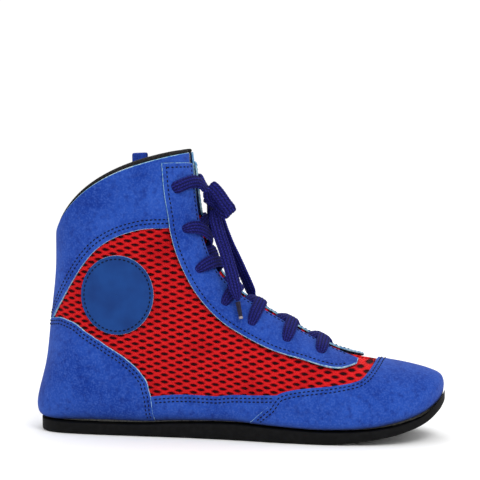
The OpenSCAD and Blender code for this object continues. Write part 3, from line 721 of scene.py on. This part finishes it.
MESH_LOW = [[4.0, 0.2], [4.3, 0.32], [5.1, 0.4], [5.9, 0.475], [6.7, 0.54], [7.8, 0.57], [8.8, 0.63],
            [9.6, 0.55], [11.6, 0.55], [13.1, 0.75], [13.4, 0.88], [13.5, 0.995]]
MESH_TOP = [[4.02, 0.01], [4.45, 0.03], [5.4, 0.047], [6.4, 0.051], [7.4, 0.057], [8.6, 0.061], [10, 0.063],
            [11.6, 0.13], [13.65, 0.365], [14.2, 0.56], [13.95, 0.76], [14.12, 0.995]]
LINING_LOW = [[7.53, REACH], [8.6, REACH], [9.6, REACH], [10.5, 0.8], [11.2, 0.86], [11.8, 0.95], [12, 1]]
LINING_TOP = [[7.53, 0.076], [9.5, 0.081], [12, 0.082], [14.5, 0.081], [15.9, 0.11], [15.9, 0.5], [15.9, 1]]
TONGUE_SIDE = [[4.5, 0.1], [5.5, 0.115], [7, 0.135], [9, 0.155], [12, 0.157], [14.6, 0.152], [15.7, 0.12]]
TOE_EDGE = [[3.96, 0], [3.99, 0.11], [4.1, 0.21], [4.3, 0.28], [4.8, 0.326], [5.4, 0.371], [6, 0.425],
            [6.2, 0.47], [6.4, 0.6], [6.6, 0.74]]
SUEDE_LOOK = ["suede", "edge"]
# Where one panel laps another, one stands this much out or the other this much in
LAP = 0.2
EYESTAY_FACE = SUEDE + GAP

lay("heel_counter_suede", [grid_between(FEATHER, HEEL_TOP, back=True)], (LAP, -SUEDE),
    "suede", SUEDE_LOOK, "boot", "heel_counter")
lay("collar_suede", [grid_between(COLLAR_LOW, COLLAR_TOP, back=True)], (0, -SUEDE),
    "suede", SUEDE_LOOK, "boot", "collar_panel")

for side, word in ((-1, "lateral"), (1, "medial")):
    lay("rand_suede_" + word, [grid_between(RAND_LOW, RAND_TOP, side)], (-LAP, -SUEDE),
        "suede", ["suede"], "boot", "rand_" + word)
    lay("eyestay_suede_" + word, [grid_between(EYESTAY_REAR, EYESTAY_FRONT, side)], (EYESTAY_FACE, GAP),
        "suede", SUEDE_LOOK, "flex", "eyestay_" + word)
    lay("eyestay_tape_" + word + "_web", [grid_between(EYESTAY_REAR, EYESTAY_FRONT, side, step=4)],
        (TAPE_OUT, TAPE_OUT - TAPE), "tape", ["tape"], "flex", "eyestay_tape_" + word)
    lay("quarter_mesh_" + word + "_knit", [grid_between(MESH_LOW, MESH_TOP, side, step=1.6)],
        (MID, MID - MIDDLE), "mesh", ["mesh"], "flex", "quarter_mesh_" + word)

    # The mesh folded up against the underside of the eyestay shows as a red line in the throat
    throat = [(t, h) for t, h in EYESTAY_FRONT if 4.9 < t < 11.5]
    fold_out, fold_in = [[t, h + 0.03] for t, h in throat], [[t, h + 0.004] for t, h in throat]
    lay("mesh_fold_" + word, [grid_between(fold_out, fold_in, side)], (GAP - 0.05, MID - 0.2),
        "mesh", ["mesh"], "flex")

# Toe cap: whole rows in front of the throat, then a wing down each side
columns = 40
spread = np.linspace(-REACH, REACH, 2 * columns + 1)
front_t = np.concatenate([np.linspace(0, 3.2, 40), np.linspace(3.3, 3.96, 16)])
toe_front = (np.repeat(front_t[:, None], len(spread), 1), np.repeat(spread[None], len(front_t), 0))
wing_edge = curve(TOE_EDGE, 10)
share = np.linspace(0, 1, columns + 1)
wing_t = np.repeat(wing_edge[:, :1], columns + 1, 1)
wing_h = wing_edge[:, 1:] + (REACH - wing_edge[:, 1:]) * share
toe_grids = [toe_front, (wing_t, wing_h), (wing_t, -wing_h)]
lay("toe_cap_suede", toe_grids, (0, -SUEDE + 0.15), "suede", SUEDE_LOOK, "flex", "toe_cap")

# ---- linings, tongue, sole layers ----

ACROSS, FORWARD, BEHIND, WING = 61, 40, 26, 28
vamp_h = np.repeat(np.linspace(-REACH, REACH, ACROSS)[None], FORWARD, 0)
vamp_t = np.repeat(np.linspace(0, 4.5, FORWARD)[:, None], ACROSS, 1)
vamp_grids = [(vamp_t, vamp_h)]
back_t = np.repeat(np.linspace(4.5, 7.5, BEHIND)[:, None], WING, 1)
for side in (-1, 1):
    h = side * (0.078 + (REACH - 0.078) * np.linspace(0, 1, WING)[None])
    vamp_grids.append((back_t, np.repeat(h, BEHIND, 0)))
lay("vamp_lining_cloth", vamp_grids, (LINING_OUT, LINING_IN), "lining", ["lining"], "flex", "vamp_lining", lip=0.2)
lay("quarter_lining_cloth", [grid_between(LINING_LOW, LINING_TOP, back=True, step=3)], (LINING_OUT, LINING_IN),
    "lining", ["lining"], "boot", "quarter_lining")

tongue_edge = curve(TONGUE_SIDE, ROUTE_STEPS)
tongue_j = np.linspace(-1, 1, 25)
tongue_grid = (np.repeat(tongue_edge[:, :1], 25, 1), tongue_edge[:, 1:] * tongue_j[None])
lay("tongue_cloth", [tongue_grid], (-9.1, -10.3), "lining", ["lining"], "tongue", "tongue")
tongue_foam = lay("tongue_padding", [tongue_grid], (-10.35, -12.6), "foam", ["lining"],
                  "tongue", "tongue_pad", lip=1.0)

rim_h = np.linspace(0.058, 2 - 0.058, 160)
rim_t = np.full(160, float(LAST))
up = unit(slopes(rim_t, rim_h)[0])
turn = np.linspace(0, 2 * math.pi, 24, endpoint=False)
centre = at(rim_t, rim_h, np.full(160, -3.25)) + up * 1.25
bead_across = 2.35 * np.sign(np.cos(turn)) * np.abs(np.cos(turn)) ** 0.6
bead_up = 1.3 * np.sign(np.sin(turn)) * np.abs(np.sin(turn)) ** 0.8
bead_n = unit(np.cross(up, np.gradient(centre, axis=0)))
bead_n *= np.sign((bead_n * normal(rim_t, rim_h)).sum(-1, keepdims=True))
rings = centre[:, None] + bead_n[:, None] * bead_across[None, :, None] + up[:, None] * bead_up[None, :, None]
verts, faces = skin_rings(rings)
settle(add_object("collar_roll", verts, faces, ["binding"], "lining"), "boot", "collar_binding")

# ---- pull loop: a folded strap sewn inside the collar, on the inner side ----

TAB = np.array([[float(LAST)], [0.42]])
TAB_UP, TAB_DOWN, TAB_W, TAB_T, TAB_HALF = 9.5, 9.0, 11.0, 1.3, 1.9
tab_n = normal(*TAB)[0]
tab_up = unit(slopes(*TAB)[0])[0]
tab_side = np.cross(tab_up, tab_n)
foot = at(*TAB, np.array([LINING_IN - 1.4]))[0]
reach_in = TAB_HALF - TAB_T / 2
arc = np.linspace(0, math.pi, 17)
strap = [(-reach_in, z) for z in np.linspace(TAB_HALF - TAB_DOWN, TAB_UP - TAB_HALF, 20)[:-1]]
strap += [(-reach_in * math.cos(a), TAB_UP - TAB_HALF + reach_in * math.sin(a)) for a in arc]
strap += [(reach_in, z) for z in np.linspace(TAB_UP - TAB_HALF, TAB_HALF - TAB_DOWN, 20)[1:]]
strap = np.array([foot - tab_n * x + tab_up * z for x, z in strap])
strap_out = np.cross(unit(np.gradient(strap, axis=0)), tab_side)
k = np.linspace(0, 2 * math.pi, 24, endpoint=False)
flat = np.stack([0.5 * TAB_W * np.sign(np.cos(k)) * np.abs(np.cos(k)) ** 0.3,
                 0.5 * TAB_T * np.sign(np.sin(k)) * np.abs(np.sin(k)) ** 0.7], -1)
verts, faces = skin_rings(tube_rings(strap, np.broadcast_to(tab_side, strap.shape), strap_out,
                                     np.broadcast_to(flat, (len(strap), 24, 2))))
settle(add_object("pull_tab_strap", verts, faces, ["webbing"], "suede"), "pull_tab", "pull_tab")

# ---- ankle patches ----

PATCH = np.array([12.08, 0.426])
PATCH_WIDTH = 0.93


def disc_places(side, radii, angles):
    """Places on the ankle at given distances round the patch's middle."""
    t0, h0 = np.array([PATCH[0]]), np.array([side * PATCH[1]])
    n = normal(t0, h0)[0]
    e1 = unit(np.cross([0.0, 0.0, 1.0], n))
    e2 = np.cross(n, e1)
    e1 = e1 * PATCH_WIDTH
    ring = radii[:, None, None] * (np.cos(angles)[None, :, None] * e1 + np.sin(angles)[None, :, None] * e2)
    target = skin(t0, h0)[0] + ring
    shape = target.shape[:2]
    t, h = np.full(shape, PATCH[0]), np.full(shape, side * PATCH[1])
    for _ in range(12):
        gap = target - skin(t, h)
        gap = gap - (gap @ n)[..., None] * n
        a, b = slopes(t, h)
        a, b = a - (a @ n)[..., None] * n, b - (b @ n)[..., None] * n
        aa, bb, ab = (a * a).sum(-1), (b * b).sum(-1), (a * b).sum(-1)
        ga, gb = (gap * a).sum(-1), (gap * b).sum(-1)
        det = aa * bb - ab * ab + 1e-9
        t, h = t + (ga * bb - gb * ab) / det, h + (gb * aa - ga * ab) / det
    return t, h


radius = (box_mm("ankle_patch_lateral")[1][2] - box_mm("ankle_patch_lateral")[0][2]) / 2
angles = np.linspace(0, 2 * math.pi, 97)
for side, word in ((-1, "lateral"), (1, "medial")):
    radii = radius - graded(radius, 2.2)[::-1]
    radii = np.sort(np.abs(radii))
    radii[0] = 0.05
    disc = disc_places(side, radii, angles)
    patch = sheet("ankle_patch_disc_" + word, [disc], 0.25, -SUEDE, "patch", ["patch", "edge"], edge_band=0.2)
    settle(patch, "boot", "ankle_patch_" + word)
    ring = disc_places(side, np.array([radius - 2.4]), angles)
    stitches("ankle_patch_stitches_" + word, [np.stack([ring[0][0], ring[1][0]], -1)], 0.25, "boot", "patch")

# ---- stitching ----


def part_of(places, start, end):
    n = len(places)
    return places[int(start * n):max(int(end * n), int(start * n) + 2)]


heel_edge = edge_curve(HEEL_TOP, back=True)
heel_low = edge_curve(FEATHER, back=True)
stitches("heel_counter_stitches", [inset(heel_edge, d, heel_low) for d in (2.2, 4.6)], LAP, "boot", "suede")
collar_edge, collar_top = edge_curve(COLLAR_LOW, back=True), edge_curve(COLLAR_TOP, back=True)
stitches("collar_stitches", [inset(collar_edge, d, collar_top) for d in (3.4, 6.0)], 0, "boot", "suede")
for side, word in ((-1, "lateral"), (1, "medial")):
    rear, fore = edge_curve(EYESTAY_REAR, side), edge_curve(EYESTAY_FRONT, side)
    lines = [part_of(inset(rear, 3.0, fore), 0.03, 0.93), part_of(inset(fore, 2.4, rear), 0.02, 0.93)]
    top = np.linspace(rear[0], fore[0], 12)
    lines.append(part_of(inset(top, 3.0, rear[len(rear) // 2:]), 0.15, 0.9))
    stitches("eyestay_stitches_" + word, lines, EYESTAY_FACE, "flex", "suede")
    rand_edge, rand_low = edge_curve(RAND_TOP, side), edge_curve(RAND_LOW, side)
    lines = [part_of(inset(rand_edge, d, rand_low), 0.07, 0.92) for d in (2.2, 4.6)]
    stitches("rand_stitches_" + word, lines, -LAP, "boot", "suede")
    toe_edge = edge_curve(TOE_EDGE, side)
    toe_low = np.stack([toe_edge[:, 0], np.full(len(toe_edge), side * REACH)], -1)
    lines = [part_of(inset(toe_edge, d, toe_low), 0.0, 0.95) for d in (2.4, 4.8)]
    stitches("toe_cap_stitches_" + word, lines, 0, "flex", "suede")

# ---- sole ----

# x from the heel, half width, height of the upper's base, height of the underside
PLAN = np.array([
    [290, 0, 31, 26.4], [287.6, 14, 26.4, 21], [279, 26.5, 18.5, 13.4], [264, 37, 13, 7.4], [243, 43.5, 9.3, 3],
    [214, 46, 8, 0], [182, 43.5, 9, 0], [150, 38.5, 10.5, 0], [116, 35, 9.5, 0], [82, 33.5, 7.6, 0],
    [50, 32.5, 7.4, 0], [28, 29.5, 7.5, 0], [16, 23, 8, 0], [10.4, 13, 8.6, 0], [9, 0, 9, 0]])
LIP = 0.8
PLAN[:, 0] += x_shift
flip = np.array([1, -1, 1, 1])
PLAN_ROWS = np.vstack([PLAN[1] * flip, PLAN, PLAN[-2] * flip])


def plan(u):
    i = np.minimum(np.floor(u), len(PLAN) - 2).astype(int)
    return blend4(PLAN_ROWS[i], PLAN_ROWS[i + 1], PLAN_ROWS[i + 2], PLAN_ROWS[i + 3], (u - i)[:, None])


def sole_piece(name, u, section, finish, slot, body, *nodes):
    """Loft along the sole; section gives (offset in from the edge, side, height) for each ring."""
    p = plan(u)
    rings = np.array([section(row) for row in p])
    verts, faces = skin_rings(rings)
    obj = add_object(name, verts, [f[::-1] for f in faces], [finish], slot, sharp=60)
    return settle(obj, body, *nodes)


def rubber_section(row):
    x, w, top, low = row
    w, top, low = max(w, 0.4) + LIP, top - GAP, max(low, 0)
    rise, edge = top - low, min(1, max(w, 0.4) / 8)
    tip = max(0, 1 - (toe_x - x) / 14)
    rim = 1 + (0.9 + 1.3 * tip) / rise
    wall = [(1.1, rim), (0.2, rim - 0.03), (0, 0.9), (0, 0.75), (0, 0.5), (0.15, 0.32), (0.7, 0.16),
            (1.6, 0.06), (2.8, 0.015), (3.6, 0)]
    left = [[x, -(w - a * edge), low + b * rise] for a, b in wall]
    bottom = [[x, (w - 3.6 * edge) * f, low] for f in (-0.6, -0.2, 0.2, 0.6)]
    right = [[x, w - a * edge, low + b * rise] for a, b in reversed(wall)]
    roof = [[x, (w - 1) * f, top - 0.1] for f in (0.6, 0.2, -0.2, -0.6)]
    return left + bottom + right + roof


u_all = np.linspace(0, len(PLAN) - 1, 170)
sole_piece("outsole_rubber", u_all, rubber_section, "rubber", "rubber", "flex", "outsole_rear", "outsole_front")


def layer_section(inset_mm, low, high):
    def section(row):
        x, w, base = row[0], max(row[1] - inset_mm, 0.5), row[2]
        under = [[x, w * f, base + low] for f in np.linspace(-1, 1, 9)]
        over = [[x, w * f, base + high] for f in np.linspace(1, -1, 9)]
        return under + over
    return section


# Span along the sole, inset from its edge, and the two heights above the sole line
for name, span, layer, look, node in (
        ("midsole_foam", (1.5, 11.9), (12, 0.4, 5.5), "foam", "midsole"),
        ("insole_board_sheet", (1.8, 12), (11, 6.8, 8), "board", "insole_board"),
        ("sock_liner_cloth", (2.1, 12), (11, 8.15, 10.9), "lining", "sock_liner")):
    sole_piece(name, np.linspace(*span, 90), layer_section(*layer), look, look, "flex", node)

# ---- light and floor ----

world = bpy.data.worlds.new("world")
world.use_nodes = True
world.node_tree.nodes["Background"].inputs["Color"].default_value = (1, 1, 1, 1)
world.node_tree.nodes["Background"].inputs["Strength"].default_value = 1.08
bpy.context.scene.world = world


def area_light(name, place, size, power):
    data = bpy.data.lights.new(name, "AREA")
    data.size, data.energy = size, power
    obj = bpy.data.objects.new(name, data)
    obj.location = place
    obj.rotation_euler = (Vector((0, 0, 0.08)) - Vector(place)).to_track_quat("-Z", "Y").to_euler()
    bpy.context.collection.objects.link(obj)


area_light("key", (0.7, -1.1, 1.4), 0.7, 12)
area_light("rim", (-0.2, 1.2, 1.2), 0.8, 4)

floor_mesh = bpy.data.meshes.new("floor")
floor_mesh.from_pydata([(-6, -6, 0), (6, -6, 0), (6, 6, 0), (-6, 6, 0)], [], [(0, 1, 2, 3)])
floor_mat = bpy.data.materials.new("floor")
floor_mat.use_nodes = True
floor_mat.node_tree.nodes["Principled BSDF"].inputs["Base Color"].default_value = (0.95, 0.95, 0.95, 1)
floor_mat.node_tree.nodes["Principled BSDF"].inputs["Roughness"].default_value = 0.9
floor_mesh.materials.append(floor_mat)
floor = bpy.data.objects.new("floor", floor_mesh)
bpy.context.collection.objects.link(floor)
bpy.context.scene.view_settings.view_transform = "Standard"
